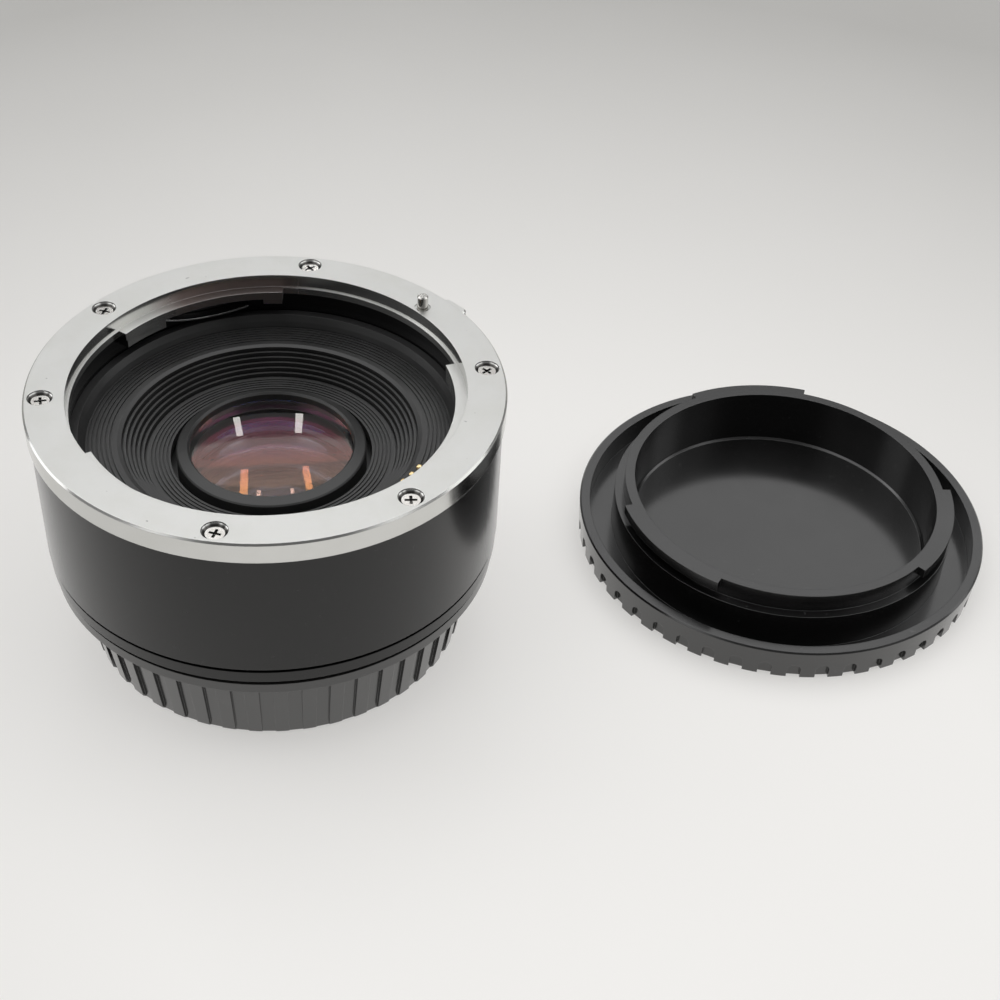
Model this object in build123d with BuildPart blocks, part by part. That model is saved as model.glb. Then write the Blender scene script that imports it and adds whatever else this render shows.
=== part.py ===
# Teleconverter for a three-lug bayonet camera, with its rear cap fitted and its front cap lying beside it.
# Millimetres. The origin is on the optical axis in the front flange face, and +Z points to the lens side.
# A size named "_z" is a height in this frame. Angles are in degrees about +Z, from +X towards +Y.

from build123d import *
import math
import os

os.makedirs("parts", exist_ok=True)

# Clearances
slip = 0.05                # radial clearance of pins and screws in their holes
seat = 0.10                # radial clearance of pieces that drop into a bore
skirt_gap = 0.30           # rim of the rear cap under the rear flange
root = 0.2                 # depth to which lugs and ribs run into the wall that carries them
over = 1.0                 # how far a cutter runs past the face that it cuts
edge_break = 0.2           # small chamfers
full_turn = 360

# Front mount ring
throat_radius = 27.05
throat_depth = 2.0
flange_width = 5.45
flange_height = 3.0
flange_chamfer = 0.25
lug_way_step = 0.3         # the bore between the tabs, which the lugs of a lens pass, is this much narrower
tab_reach = 1.6
tab_thickness = 1.2
tab_spans = ((94.0, 151.0), (-36.5, 22.5), (214.0, 271.0))
tab_end_span = 16.5        # thick end of each tab, where the lug of a lens stops
tab_end_height = 1.3
tab_end_margin = 0.5       # degrees from the thick end to the end of its tab
tab_stop_span = 6.1        # small block at the other end
tab_stop_offset = 0.4
tab_stop_height = 1.1
tab_stop_reach = 1.15

# Front mount screws, whose heads lie sunk in wider countersinks
screw_angles = (13.3, 86.7, 149.0, 191.8, 266.0, 314.5)
screw_edge_width = 2.3     # from the edge of the flange to the middle of a screw
screw_head_radius = 1.25
screw_shank_radius = 0.8
screw_length = 5.0
screw_lip_height = 0.12    # straight rim of a countersunk head
sink_radius = 1.72
sink_lip_height = 0.2      # straight rim of a countersink
cross_width = 0.38
cross_length = 1.6
cross_depth = 0.45
cross_turns = (48, 40, 77, 17, 78, 7)    # each recess stands at its own angle, as screws do

# Barrel
barrel_step = 0.4          # barrel inside the edge of the flange
barrel_height = 19.5
barrel_wall = 1.5
cavity_gap = 0.35          # room round the lugs of a lens, outside the throat
cavity_depth = 4.5
ledge_width = 1.2
neck_depth = 0.8           # dark groove under the barrel
neck_height = 0.45

# Rear ring and rear mount
rear_ring_step = 0.15      # rear ring inside the barrel
rear_ring_height = 1.9
rear_ring_wall = 0.9
rear_seat_depth = 0.55     # how far the ring runs up past the back of the rear flange
rear_flange_thickness = 1.8
rear_tube_gap = 0.15       # the tube passes tabs like those of the front mount
rear_tube_wall = 1.3
rear_tube_height = 6.0
lug_gap = 0.35             # a lug passes a bore like that of the front mount
rear_lug_depth = 3.3       # from the flange to the lugs
rear_lug_thickness = 1.3
rear_lug_span = 45.0
rear_screw_angles = (10.0, 100.0, 190.0, 280.0)
rear_screw_edge_width = 2.3
rear_shelf_width = 2.0
rear_shelf_depth = 2.3
rear_shelf_thickness = 2.0
lock_hole_gap = 0.2

# Lock pin and release slider
lock_angle = 47.3
lock_edge_width = 1.45     # from the throat to the middle of the pin
lock_pin_radius = 0.8
lock_tail_radius = 0.55
lock_pin_height = 2.0
lock_rim_width = 0.4       # shallow counterbore round the pin
lock_rim_depth = 0.3
release_travel = 2.2
arm_width = 2.2
arm_height = 2.0
arm_depth = 1.9            # arm top below the flange ring
slot_gap = 0.2
knob_width = 4.4
knob_reach = 4.35
knob_offset = 0.7          # thumb piece to the left of the pin, seen from outside
knob_corner_radius = 0.8
knob_height = 5.2
knob_gap = 0.25            # knob top below the flange ring
knob_grip_count = 3
knob_grip_depth = 0.35
knob_grip_width = 0.4
knob_chamfer = 0.3
plate_gap = 0.15           # back plate that covers the slot, off the barrel
plate_thickness = 0.85
plate_height = 9.2
release_spring_radius = 0.85
release_spring_wall = 0.3
release_spring_length = 5.5
head_floor_thickness = 0.55    # barrel head left under the pocket of the spring

# Index mark for offering up a lens
index_angle = 137.3
index_radius = 1.1
index_depth = 3.2          # middle of the mark below the flange ring
index_pocket_depth = 0.8
index_proud_height = 0.05

# Front baffle
baffle_flange_thickness = 1.2
baffle_lip_width = 1.16
baffle_chamfer_width = 0.54
baffle_chamfer_depth = 0.9
baffle_wall_taper_width = 0.3
baffle_wall_taper_depth = 0.7
baffle_wall_height = 0.2
baffle_floor_thickness = 1.8
baffle_thickness = 1.2
fine_pitch_width = 0.6
fine_width = 0.2
fine_depth = 0.2
fine_start_width = 0.3     # plain floor outside the first fine groove
fine_end_width = 0.5       # least plain floor inside the last one
cone_step_width = 0.57
cone_step_height = 0.53
cone_step_count = 6
cone_groove_width = 0.2
cone_groove_depth = 0.3
cone_first_height = 0.21   # slope that leads from the floor to the first step
inner_floor_width = 2.98
inner_pitch_width = 0.54
inner_start_width = 0.38
inner_end_width = 0.3
baffle_hole_gap = 0.8      # round the front ring of the lens

# Contacts on the lens side
contact_count = 8
contact_first_angle = 333.9
contact_pitch = 4.4
contact_height = 4.2       # tips above the baffle floor
contact_radius = 0.45
contact_round_radius = 0.3
contact_travel = 1.0
contact_collar_width = 0.2
contact_collar_height = 0.4
contact_bore_gap = 0.07    # bore round the collar
contact_spring_gap = 0.12  # spring in the bore
contact_spring_wall = 0.25
block_width = 2.7
block_margin = 3.5         # degrees past the last contact
block_top_wall = 1.0
plug_inner_width = 0.5     # shoulder of the block inside its plug
plug_outer_width = 0.3
plug_margin = 2.0
plug_depth = 2.3
plug_gap = 0.15

# Board and flexible circuits
board_depth = 1.0          # board top below the barrel head
board_thickness = 0.8
board_hole_gap = 1.95      # round the hub
board_gap = 15.0           # half of the board's open sector, in degrees
flex_thickness = 0.2
flex_span = 14.0
flex_margin = 0.5          # degrees from the end of the plug

# Inner frame
frame_ledge_width = 1.4
frame_disc_depth = 4.5     # disc top below the frame's top face
frame_disc_thickness = 2.0
hub_wall = 1.5
hub_depth = 1.0            # hub top below the frame's top face
hub_height = 7.5
flex_window_width = 1.0
flex_window_margin = 2.0
tap_margin_depth = 0.5     # depth of a screw hole past its screw

# Lens cell and optics
front_lens_radius = 12.0
rear_lens_step = 1.2       # the rear lenses are this much smaller in radius
rim_height = 0.99          # front ring above the inner floor of the baffle
rim_outer_width = 1.2      # front ring outside the lens
rim_inner_width = 0.6      # front ring over the lens
rim_thickness = 0.75
rim_skirt_wall = 0.5
rim_skirt_height = 2.2
rim_bevel_width = 0.3
rim_rise = 0.5             # front ring's inner edge above its outer edge
thread_step = 1.8          # threaded middle of the cell outside the front ring
cell_step_width = 2.0      # between the thread and the waist
cell_waist_height = 5.0
cell_tail_wall = 1.55
cell_shoulder_width = 0.6  # shoulder over the rear lenses
cell_shoulder_height = 1.8
front_lens_gap = 0.3       # edge of the front lens below the neck of the cell
spacer_width = 1.0
# Each lens: front sag, edge thickness, back sag. A positive sag bulges, a negative one is hollow.
front_lenses = ((0.5, 2.8, 0.17), (-1.0, 5.0, -1.2), (1.3, 1.6, 1.5))
rear_lenses = ((-0.8, 3.0, -0.8), (0.7, 1.5, 1.1))
front_spacer_heights = (2.6, 0.5)
rear_spacer_heights = (0.3,)
rear_retainer_width = 1.2
rear_retainer_height = 1.4
spanner_slot_width = 1.2
spanner_slot_depth = 0.6

# Rear contacts and rear baffle
rear_baffle_thickness = 1.2
rear_block_width = 2.6
rear_block_height = 1.5
rear_plug_inner_width = 0.6
rear_plug_outer_width = 0.5
rear_plug_height = 3.1
pad_radius = 0.62
pad_depth = 0.45
pad_proud_height = 0.05
baffle_screw_angles = (60.0, 180.0, 265.0)
baffle_screw_head_radius = 0.8
baffle_screw_shank_radius = 0.5
baffle_screw_length = 2.6
baffle_cross_width = 0.25
baffle_cross_length = 1.0
baffle_cross_depth = 0.35

# Leaf springs under the tabs
leaf_width = 1.5
leaf_thickness = 0.25
leaf_span = 29.0
leaf_bow_height = 1.85     # lowest point below the back of the tab
leaf_tip_height = 0.9
leaf_cut_depth = 2.0       # the strip is cut to the ring's shape from a block this much deeper and wider

# Rear cap
cap_rim_step = 0.39        # rim inside the rear ring
cap_rim_width = 2.31
cap_rim_height = 1.53
cap_taper_width = 1.85
cap_height = 14.4
cap_foot_chamfer = 0.5     # rounds the lower ends of the ribs
cap_floor_thickness = 1.2
cap_bore_gap = 0.6         # round the rear lugs
cap_bore_depth = 5.0
cap_floor_step = 1.4
cap_rib_count = 46
cap_rib_phase = 267.3
cap_groove_width = 1.9
cap_groove_depth = 0.55
cap_groove_gap = 0.45      # plain wall above the grooves
cap_lug_gap = 0.3          # round the rear tube
cap_lug_depth = 1.4
cap_lug_height = 1.3
cap_lug_span = 50.0
cap_stop_span = 2.5
cap_stop_offset = 0.5      # degrees from the end of a rear lug

# Front cap, lying with its closed face down on the surface that the rear cap stands on
front_cap_angle = 15.798
front_cap_gap = 16.515     # between the rims of the two caps
front_rim_step = 0.5       # rim inside the flange of the front mount
front_rim_taper_width = 0.24
front_rim_wall = 1.36      # at the foot of the rim
front_rim_height = 5.1
front_rim_chamfer = 0.25
front_tube_gap = 0.25      # the tube passes the tabs of the front mount
front_tube_height = 10.14
front_tube_wall = 1.5
front_tube_draft_width = 0.3
front_floor_thickness = 1.1
front_floor_chamfer = 0.3  # where the floor meets the bore
front_step_width = 1.4
front_step_height = 7.2
front_trough_thickness = 1.2
front_lug_thickness = 1.5
front_lug_spans = ((77.5, 120.8), (-42.8, 3.3), (196.0, 243.0))
notch_count = 47
notch_phase = 200.7
notch_width = 2.0
notch_height = 2.5
notch_depth = 0.6

# Radii worked out from these, from the outside in
flange_radius = throat_radius + flange_width
barrel_radius = flange_radius - barrel_step
neck_radius = barrel_radius - neck_depth
barrel_bore_radius = barrel_radius - barrel_wall
plate_start_radius = barrel_radius + plate_gap
plate_radius = plate_start_radius + plate_thickness
knob_radius = barrel_radius + knob_reach
screw_circle_radius = flange_radius - screw_edge_width
lock_circle_radius = throat_radius + lock_edge_width
cavity_radius = throat_radius + cavity_gap
cavity_fit_radius = cavity_radius - 2 * seat
ledge_radius = cavity_radius - ledge_width
lug_way_radius = throat_radius - lug_way_step
tab_radius = throat_radius - tab_reach
tab_stop_radius = throat_radius - tab_stop_reach
lug_radius = lug_way_radius - lug_gap
leaf_inner_radius = cavity_fit_radius - leaf_width
frame_radius = barrel_bore_radius - seat
frame_wall_radius = cavity_radius - frame_ledge_width
rear_ring_radius = barrel_radius - rear_ring_step
rear_ring_bore_radius = barrel_bore_radius
rear_seat_radius = rear_ring_radius - rear_ring_wall
rear_flange_radius = rear_seat_radius - slip
rear_screw_circle_radius = frame_radius - rear_screw_edge_width
rear_tube_radius = tab_radius - rear_tube_gap
rear_tube_bore_radius = rear_tube_radius - rear_tube_wall
shelf_radius = rear_tube_bore_radius - rear_shelf_width
baffle_screw_circle_radius = (shelf_radius + rear_tube_bore_radius) / 2
rear_block_outer_radius = rear_tube_bore_radius - seat
rear_block_inner_radius = rear_block_outer_radius - rear_block_width
rear_plug_inner_radius = rear_block_inner_radius + rear_plug_inner_width
rear_plug_outer_radius = rear_block_outer_radius - rear_plug_outer_width
pad_circle_radius = (rear_block_inner_radius + rear_block_outer_radius) / 2
rim_outer_radius = front_lens_radius + rim_outer_width
rim_inner_radius = front_lens_radius - rim_inner_width
rear_lens_radius = front_lens_radius - rear_lens_step
thread_radius = rim_outer_radius + thread_step
hub_bore_radius = thread_radius + slip
hub_radius = hub_bore_radius + hub_wall
board_inner_radius = hub_radius + board_hole_gap
cell_waist_radius = thread_radius - cell_step_width
cell_tail_radius = rear_lens_radius + slip + cell_tail_wall
cell_shoulder_radius = rear_lens_radius - cell_shoulder_width
rear_retainer_radius = rear_lens_radius - rear_retainer_width
baffle_hole_radius = rim_outer_radius + baffle_hole_gap
cone_end_radius = baffle_hole_radius + inner_floor_width
cone_top_radius = cone_end_radius + cone_step_width * cone_step_count
baffle_lip_radius = cavity_fit_radius - baffle_lip_width
baffle_chamfer_radius = baffle_lip_radius - baffle_chamfer_width
baffle_wall_radius = baffle_chamfer_radius - baffle_wall_taper_width
block_outer_radius = baffle_wall_radius - seat
block_inner_radius = block_outer_radius - block_width
plug_inner_radius = block_inner_radius + plug_inner_width
plug_outer_radius = block_outer_radius - plug_outer_width
contact_circle_radius = (plug_inner_radius + plug_outer_radius) / 2
contact_collar_radius = contact_radius + contact_collar_width
contact_bore_radius = contact_collar_radius + contact_bore_gap
contact_spring_radius = contact_bore_radius - contact_spring_gap
cap_rim_radius = rear_ring_radius - cap_rim_step
cap_wall_top_radius = cap_rim_radius - cap_rim_width
cap_wall_bottom_radius = cap_wall_top_radius - cap_taper_width
cap_bore_radius = lug_radius + cap_bore_gap
cap_floor_radius = cap_bore_radius - cap_floor_step
cap_lug_radius = rear_tube_radius + cap_lug_gap
cap_stop_radius = lug_radius + seat
front_rim_top_radius = flange_radius - front_rim_step
front_rim_bottom_radius = front_rim_top_radius - front_rim_taper_width
front_rim_inner_radius = front_rim_bottom_radius - front_rim_wall
front_tube_radius = tab_radius - front_tube_gap
front_tube_bore_radius = front_tube_radius - front_tube_wall
front_floor_bore_radius = front_tube_bore_radius - front_tube_draft_width
front_step_radius = front_tube_radius + front_step_width

# Heights worked out from these, from the top down
ring_back_z = -flange_height
screw_head_z = -(sink_radius + sink_lip_height - screw_head_radius - screw_lip_height - slip)
tab_back_z = -throat_depth - tab_thickness
barrel_end_z = ring_back_z - barrel_height
ledge_z = ring_back_z - cavity_depth
baffle_top_z = ledge_z + baffle_flange_thickness
baffle_chamfer_z = baffle_top_z - baffle_chamfer_depth
baffle_wall_z = baffle_chamfer_z - baffle_wall_taper_depth
block_floor_z = baffle_wall_z - baffle_wall_height
floor_back_z = block_floor_z - baffle_floor_thickness
cone_top_z = block_floor_z - cone_first_height
cone_bottom_z = cone_top_z - cone_step_height * cone_step_count
baffle_back_z = cone_bottom_z - baffle_thickness
arm_top_z = ring_back_z - arm_depth
arm_end_z = arm_top_z - arm_height
slot_end_z = arm_end_z - release_travel - slot_gap
spring_end_z = arm_end_z - slip - release_spring_length
barrel_head_z = spring_end_z - head_floor_thickness
plate_top_z = ring_back_z - knob_gap
index_z = ring_back_z - index_depth
contact_tip_z = block_floor_z + contact_height
block_top_z = contact_tip_z - contact_travel
collar_top_z = block_top_z - block_top_wall - slip
collar_end_z = collar_top_z - contact_collar_height
plug_end_z = block_floor_z - plug_depth
flex_end_z = plug_end_z - flex_thickness
board_top_z = barrel_head_z - board_depth
board_back_z = board_top_z - board_thickness
disc_top_z = barrel_head_z - frame_disc_depth
disc_back_z = disc_top_z - frame_disc_thickness
hub_top_z = barrel_head_z - hub_depth
hub_end_z = hub_top_z - hub_height
rim_top_z = cone_bottom_z + rim_height
rim_crest_z = rim_top_z + rim_rise
neck_top_z = rim_top_z - rim_thickness
skirt_end_z = neck_top_z - rim_skirt_height
waist_end_z = hub_end_z - cell_waist_height
rear_ring_top_z = barrel_end_z - neck_height
rear_ring_end_z = rear_ring_top_z - rear_ring_height
rear_flange_top_z = rear_ring_top_z - rear_seat_depth
rear_flange_z = rear_flange_top_z - rear_flange_thickness
rear_tube_end_z = rear_flange_z - rear_tube_height
rear_lug_top_z = rear_flange_z - rear_lug_depth
rear_lug_end_z = rear_lug_top_z - rear_lug_thickness
shelf_top_z = rear_flange_z - rear_shelf_depth
shelf_z = shelf_top_z - rear_shelf_thickness
rear_plug_top_z = shelf_z + rear_plug_height
rear_baffle_z = shelf_z - rear_baffle_thickness
rear_block_z = rear_baffle_z - rear_block_height
cap_top_z = rear_flange_z - skirt_gap
cap_rim_z = cap_top_z - cap_rim_height
ground_z = cap_top_z - cap_height

# Angles of the contacts and of their blocks
contact_angles = [contact_first_angle - contact_pitch * i for i in range(contact_count)]
block_start = contact_angles[-1] - block_margin
block_end = contact_first_angle + block_margin
plug_start = block_start + plug_margin
plug_end = block_end - plug_margin
contact_middle = (block_start + block_end) / 2
plug_gap_angle = math.degrees(plug_gap / contact_circle_radius)


def radial_plane(angle):
    """Plane through the axis: x runs outward at this angle, y runs up."""
    a = math.radians(angle)
    return Plane(origin=(0, 0, 0), x_dir=(math.cos(a), math.sin(a), 0), z_dir=(math.sin(a), -math.cos(a), 0))


def tangent_plane(angle, radius=0.0):
    """Upright plane square to the radius: x runs along the circle, y runs up, z points outward."""
    a = math.radians(angle)
    origin = (radius * math.cos(a), radius * math.sin(a), 0)
    return Plane(origin=origin, x_dir=(-math.sin(a), math.cos(a), 0), z_dir=(math.cos(a), math.sin(a), 0))


def polar(radius, angle, z=0.0):
    """Point at a radius and an angle."""
    a = math.radians(angle)
    return (radius * math.cos(a), radius * math.sin(a), z)


lock_place = polar(lock_circle_radius, lock_angle)


def turned(points, mode=Mode.ADD, centre=(0, 0)):
    """Solid of revolution from a closed outline of (radius, z) points."""
    plane = Plane(origin=(centre[0], centre[1], 0), x_dir=(1, 0, 0), z_dir=(0, -1, 0))
    with BuildSketch(plane) as outline:
        with BuildLine():
            Polyline(*points, close=True)
        make_face()
    revolve(outline.sketch, axis=Axis((centre[0], centre[1], 0), (0, 0, 1)), mode=mode)


def sector(inner, outer, low, high, start, end, mode=Mode.ADD, centre=(0, 0)):
    """Part of a ring between two radii, two heights and two angles."""
    plane = radial_plane(start)
    plane.origin = (centre[0], centre[1], 0)
    with BuildSketch(plane) as outline:
        with Locations(((inner + outer) / 2, (low + high) / 2)):
            Rectangle(outer - inner, high - low)
    axis = Axis((centre[0], centre[1], 0), (0, 0, 1))
    revolve(outline.sketch, axis=axis, revolution_arc=end - start, mode=mode)


def post(radius, low, high, place, mode=Mode.ADD):
    """Upright round post or hole at an (x, y) place."""
    with BuildSketch(Plane.XY.offset(low)) as outline:
        with Locations(place[:2]):
            Circle(radius)
    extrude(outline.sketch, amount=high - low, mode=mode)


def countersunk(head, shank, length, face_z, place, up=1, lip=screw_lip_height, mode=Mode.ADD, extra=0.0):
    """Countersunk screw, or the hole for one, with its head in the face and its shank going away from it."""
    cone = head - shank
    lip_z = face_z - up * lip
    cone_z = lip_z - up * cone
    with BuildSketch(Plane.XZ) as outline:
        with BuildLine():
            Polyline(
                (0, face_z + up * extra), (head, face_z + up * extra), (head, lip_z),
                (shank, cone_z), (shank, face_z - up * length), (0, face_z - up * length), close=True,
            )
        make_face()
    with BuildPart(mode=Mode.PRIVATE) as blank:
        revolve(outline.sketch, axis=Axis.Z)
    add(Pos(place[0], place[1], 0) * blank.part, mode=mode)


def cross_recess(place, face_z, width, length, depth, turn, up=1):
    """Cross recess cut into a screw head."""
    for arm in ((length, width), (width, length)):
        with BuildSketch(Plane.XY.offset(face_z)) as outline:
            with Locations(Location((place[0], place[1], 0), (0, 0, turn))):
                Rectangle(*arm)
        extrude(outline.sketch, amount=-up * depth, mode=Mode.SUBTRACT)


# Front mount ring: flange, throat, three tabs with a thick end and a stop, holes for screws and lock pin
with BuildPart() as front_mount_ring:
    turned([
        (flange_radius - flange_chamfer, 0), (flange_radius, -flange_chamfer), (flange_radius, ring_back_z),
        (lug_way_radius, ring_back_z), (lug_way_radius, -throat_depth), (throat_radius, -throat_depth),
        (throat_radius, 0),
    ])
    for start, end in tab_spans:
        sector(tab_radius, throat_radius, tab_back_z, -throat_depth, start, end)
        sector(tab_radius, cavity_fit_radius, tab_back_z - tab_end_height, tab_back_z,
               end - tab_end_span, end - tab_end_margin)
        stop_start = start + tab_stop_offset
        sector(tab_stop_radius, cavity_fit_radius, tab_back_z - tab_stop_height, tab_back_z,
               stop_start, stop_start + tab_stop_span)
        sector(lug_way_radius - root, cavity_fit_radius, tab_back_z, ring_back_z, start, end)
    for angle in screw_angles:
        countersunk(sink_radius, screw_shank_radius + slip, flange_height + over, 0,
                    polar(screw_circle_radius, angle), lip=sink_lip_height, mode=Mode.SUBTRACT, extra=over)
    post(lock_pin_radius + slip, ring_back_z - over, over, lock_place, mode=Mode.SUBTRACT)
    post(lock_pin_radius + lock_rim_width, -lock_rim_depth, over, lock_place, mode=Mode.SUBTRACT)
front_mount_ring.part.label = "front_mount_ring"
export_step(front_mount_ring.part, "parts/front_mount_ring.step")

# Six countersunk screws that hold the ring to the barrel
with BuildPart() as mount_screws:
    for i, angle in enumerate(screw_angles):
        place = polar(screw_circle_radius, angle)
        countersunk(screw_head_radius, screw_shank_radius, screw_length, screw_head_z, place)
        cross_recess(place, screw_head_z, cross_width, cross_length, cross_depth, cross_turns[i])
mount_screws.part.label = "mount_screws"
export_step(mount_screws.part, "parts/mount_screws.step")

# Barrel: thick head that takes the screws, thin skirt, slot for the release slider, pocket for the index mark
with BuildPart() as barrel:
    turned([
        (cavity_radius, ring_back_z), (barrel_radius, ring_back_z),
        (barrel_radius, barrel_end_z + edge_break), (barrel_radius - edge_break, barrel_end_z),
        (neck_radius, barrel_end_z), (neck_radius, rear_ring_top_z), (barrel_bore_radius, rear_ring_top_z),
        (barrel_bore_radius, barrel_head_z), (ledge_radius, barrel_head_z), (ledge_radius, ledge_z),
        (cavity_radius, ledge_z),
    ])
    for angle in screw_angles:
        post(screw_shank_radius + slip, screw_head_z - screw_length - tap_margin_depth, ring_back_z + over,
             polar(screw_circle_radius, angle), mode=Mode.SUBTRACT)
    post(lock_pin_radius + slip, arm_top_z, ring_back_z + over, lock_place, mode=Mode.SUBTRACT)
    post(release_spring_radius + seat, spring_end_z, arm_end_z, lock_place, mode=Mode.SUBTRACT)
    with BuildSketch(tangent_plane(lock_angle, lock_circle_radius - lock_pin_radius - slip)) as slot:
        with Locations((0, (arm_top_z + slot_gap + slot_end_z) / 2)):
            Rectangle(arm_width + 2 * slip, arm_top_z + slot_gap - slot_end_z)
    extrude(slot.sketch, amount=barrel_radius, mode=Mode.SUBTRACT)
    with BuildSketch(tangent_plane(index_angle, barrel_radius - index_pocket_depth)) as index_pocket:
        with Locations((0, index_z)):
            Circle(index_radius + slip)
    extrude(index_pocket.sketch, amount=index_pocket_depth + over, mode=Mode.SUBTRACT)
barrel.part.label = "barrel"
export_step(barrel.part, "parts/barrel.step")

# Index mark inlaid in the barrel
with BuildPart() as lens_index_mark:
    with BuildSketch(tangent_plane(index_angle, barrel_radius - index_pocket_depth)) as dot:
        with Locations((0, index_z)):
            Circle(index_radius)
    extrude(dot.sketch, amount=index_pocket_depth + index_proud_height)
lens_index_mark.part.label = "lens_index_mark"
export_step(lens_index_mark.part, "parts/lens_index_mark.step")

# Lock pin: stands out of the flange, with a thinner tail that is pressed into the slider's arm
with BuildPart() as lock_pin:
    post(lock_pin_radius, arm_top_z, lock_pin_height, lock_place)
    chamfer(lock_pin.faces().sort_by(Axis.Z)[-1].edges(), edge_break)
    post(lock_tail_radius, arm_end_z, arm_top_z, lock_place)
lock_pin.part.label = "lock_pin"
export_step(lock_pin.part, "parts/lock_pin.step")

# Release slider: arm through the slot, back plate over it, thumb piece with grip grooves
with BuildPart() as release_slider:
    arm_start_radius = lock_circle_radius - lock_pin_radius + slip
    with BuildSketch(tangent_plane(lock_angle, arm_start_radius)) as arm:
        with Locations((0, (arm_top_z + arm_end_z) / 2)):
            Rectangle(arm_width, arm_height)
    extrude(arm.sketch, amount=plate_radius - arm_start_radius)
    with BuildSketch(tangent_plane(lock_angle, plate_start_radius)) as plate:
        with Locations((knob_offset, plate_top_z - plate_height / 2)):
            Rectangle(knob_width, plate_height)
    extrude(plate.sketch, amount=plate_thickness)
    with BuildSketch(tangent_plane(lock_angle, plate_start_radius)) as knob:
        with Locations((knob_offset, plate_top_z - knob_height / 2)):
            Rectangle(knob_width, knob_height)
    extrude(knob.sketch, amount=knob_radius - plate_start_radius)
    outward = Axis((0, 0, 0), polar(1, lock_angle))
    fillet(release_slider.faces().sort_by(outward)[-1].edges().filter_by(Axis.Z), knob_corner_radius)
    knob_face = release_slider.faces().sort_by(outward)[-1]
    chamfer(knob_face.edges().filter_by(Axis.Z, reverse=True), knob_chamfer)
    for i in range(knob_grip_count):
        groove_z = plate_top_z - knob_height * (i + 1) / (knob_grip_count + 1)
        with BuildSketch(tangent_plane(lock_angle, knob_radius - knob_grip_depth)) as grip:
            with Locations((knob_offset, groove_z)):
                Rectangle(knob_width + over, knob_grip_width)
        extrude(grip.sketch, amount=over, mode=Mode.SUBTRACT)
    post(lock_tail_radius + slip / 2, arm_end_z - over, arm_top_z + over, lock_place, mode=Mode.SUBTRACT)
release_slider.part.label = "release_slider"
export_step(release_slider.part, "parts/release_slider.step")

# Spring that pushes the arm up, inside the barrel head
with BuildPart() as release_spring:
    post(release_spring_radius, spring_end_z + slip, arm_end_z - slip, lock_place)
    post(release_spring_radius - release_spring_wall, spring_end_z - over, arm_end_z + over, lock_place,
         mode=Mode.SUBTRACT)
release_spring.part.label = "release_spring"
export_step(release_spring.part, "parts/release_spring.step")

# Leaf springs: one bowed strip behind each tab, from the thick end towards the stop
for number, (start, end) in enumerate(tab_spans, 1):
    leaf_end = end - tab_end_span
    leaf_middle = leaf_end - leaf_span / 2
    half = cavity_fit_radius * math.sin(math.radians(leaf_span / 2))
    with BuildPart() as leaf_spring:
        with BuildSketch(tangent_plane(leaf_middle, leaf_inner_radius - leaf_cut_depth)) as leaf:
            with BuildLine():
                upper = ((half, tab_back_z), (0, tab_back_z - leaf_bow_height),
                         (-half, tab_back_z - leaf_tip_height))
                lower = [(x, y - leaf_thickness) for x, y in upper]
                ThreePointArc(*upper)
                Line(upper[2], lower[2])
                ThreePointArc(*reversed(lower))
                Line(lower[0], upper[0])
            make_face()
        extrude(leaf.sketch, amount=leaf_width + 2 * leaf_cut_depth)
        sector(leaf_inner_radius, cavity_fit_radius, tab_back_z - leaf_bow_height - over, tab_back_z,
               leaf_end - leaf_span, leaf_end, mode=Mode.INTERSECT)
    leaf_spring.part.label = f"leaf_spring_{number}"
    export_step(leaf_spring.part, f"parts/leaf_spring_{number}.step")

def fine_grooves(first, last, pitch, face_z):
    """Outline points of the fine grooves in a floor, from the first radius inward to the last at most."""
    points = []
    for i in range(math.floor((first - last) / pitch) + 1):
        outer = first - pitch * i + fine_width / 2
        inner = outer - fine_width
        bottom_z = face_z - fine_depth
        points += [(outer, face_z), (outer, bottom_z), (inner, bottom_z), (inner, face_z)]
    return points


# Front baffle: lip, grooved floor, stepped cone and grooved inner floor
outline = [
    (cavity_fit_radius, baffle_top_z), (baffle_lip_radius, baffle_top_z),
    (baffle_chamfer_radius, baffle_chamfer_z), (baffle_wall_radius, baffle_wall_z),
    (baffle_wall_radius, block_floor_z),
]
cone_edge_radius = cone_top_radius + cone_step_width
outline += fine_grooves(baffle_wall_radius - fine_start_width, cone_edge_radius + fine_end_width,
                        fine_pitch_width, block_floor_z)
outline += [(cone_edge_radius, block_floor_z), (cone_top_radius, cone_top_z)]
for i in range(cone_step_count):
    step_radius = cone_top_radius - cone_step_width * i
    step_z = cone_top_z - cone_step_height * (i + 1)
    outline += [
        (step_radius, step_z - cone_groove_depth),
        (step_radius - cone_groove_width, step_z - cone_groove_depth),
        (step_radius - cone_groove_width, step_z), (step_radius - cone_step_width, step_z),
    ]
outline += fine_grooves(cone_end_radius - inner_start_width, baffle_hole_radius + inner_end_width,
                        inner_pitch_width, cone_bottom_z)
outline += [
    (baffle_hole_radius, cone_bottom_z), (baffle_hole_radius, baffle_back_z),
    (cone_end_radius + baffle_thickness, baffle_back_z),
    (cone_top_radius + baffle_thickness, floor_back_z), (ledge_radius - seat, floor_back_z),
    (ledge_radius - seat, ledge_z), (cavity_fit_radius, ledge_z),
]
with BuildPart() as front_baffle:
    turned(outline)
    sector(plug_inner_radius, plug_outer_radius, floor_back_z - over, block_floor_z + over,
           plug_start, plug_end, mode=Mode.SUBTRACT)
front_baffle.part.label = "front_baffle"
export_step(front_baffle.part, "parts/front_baffle.step")

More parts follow.
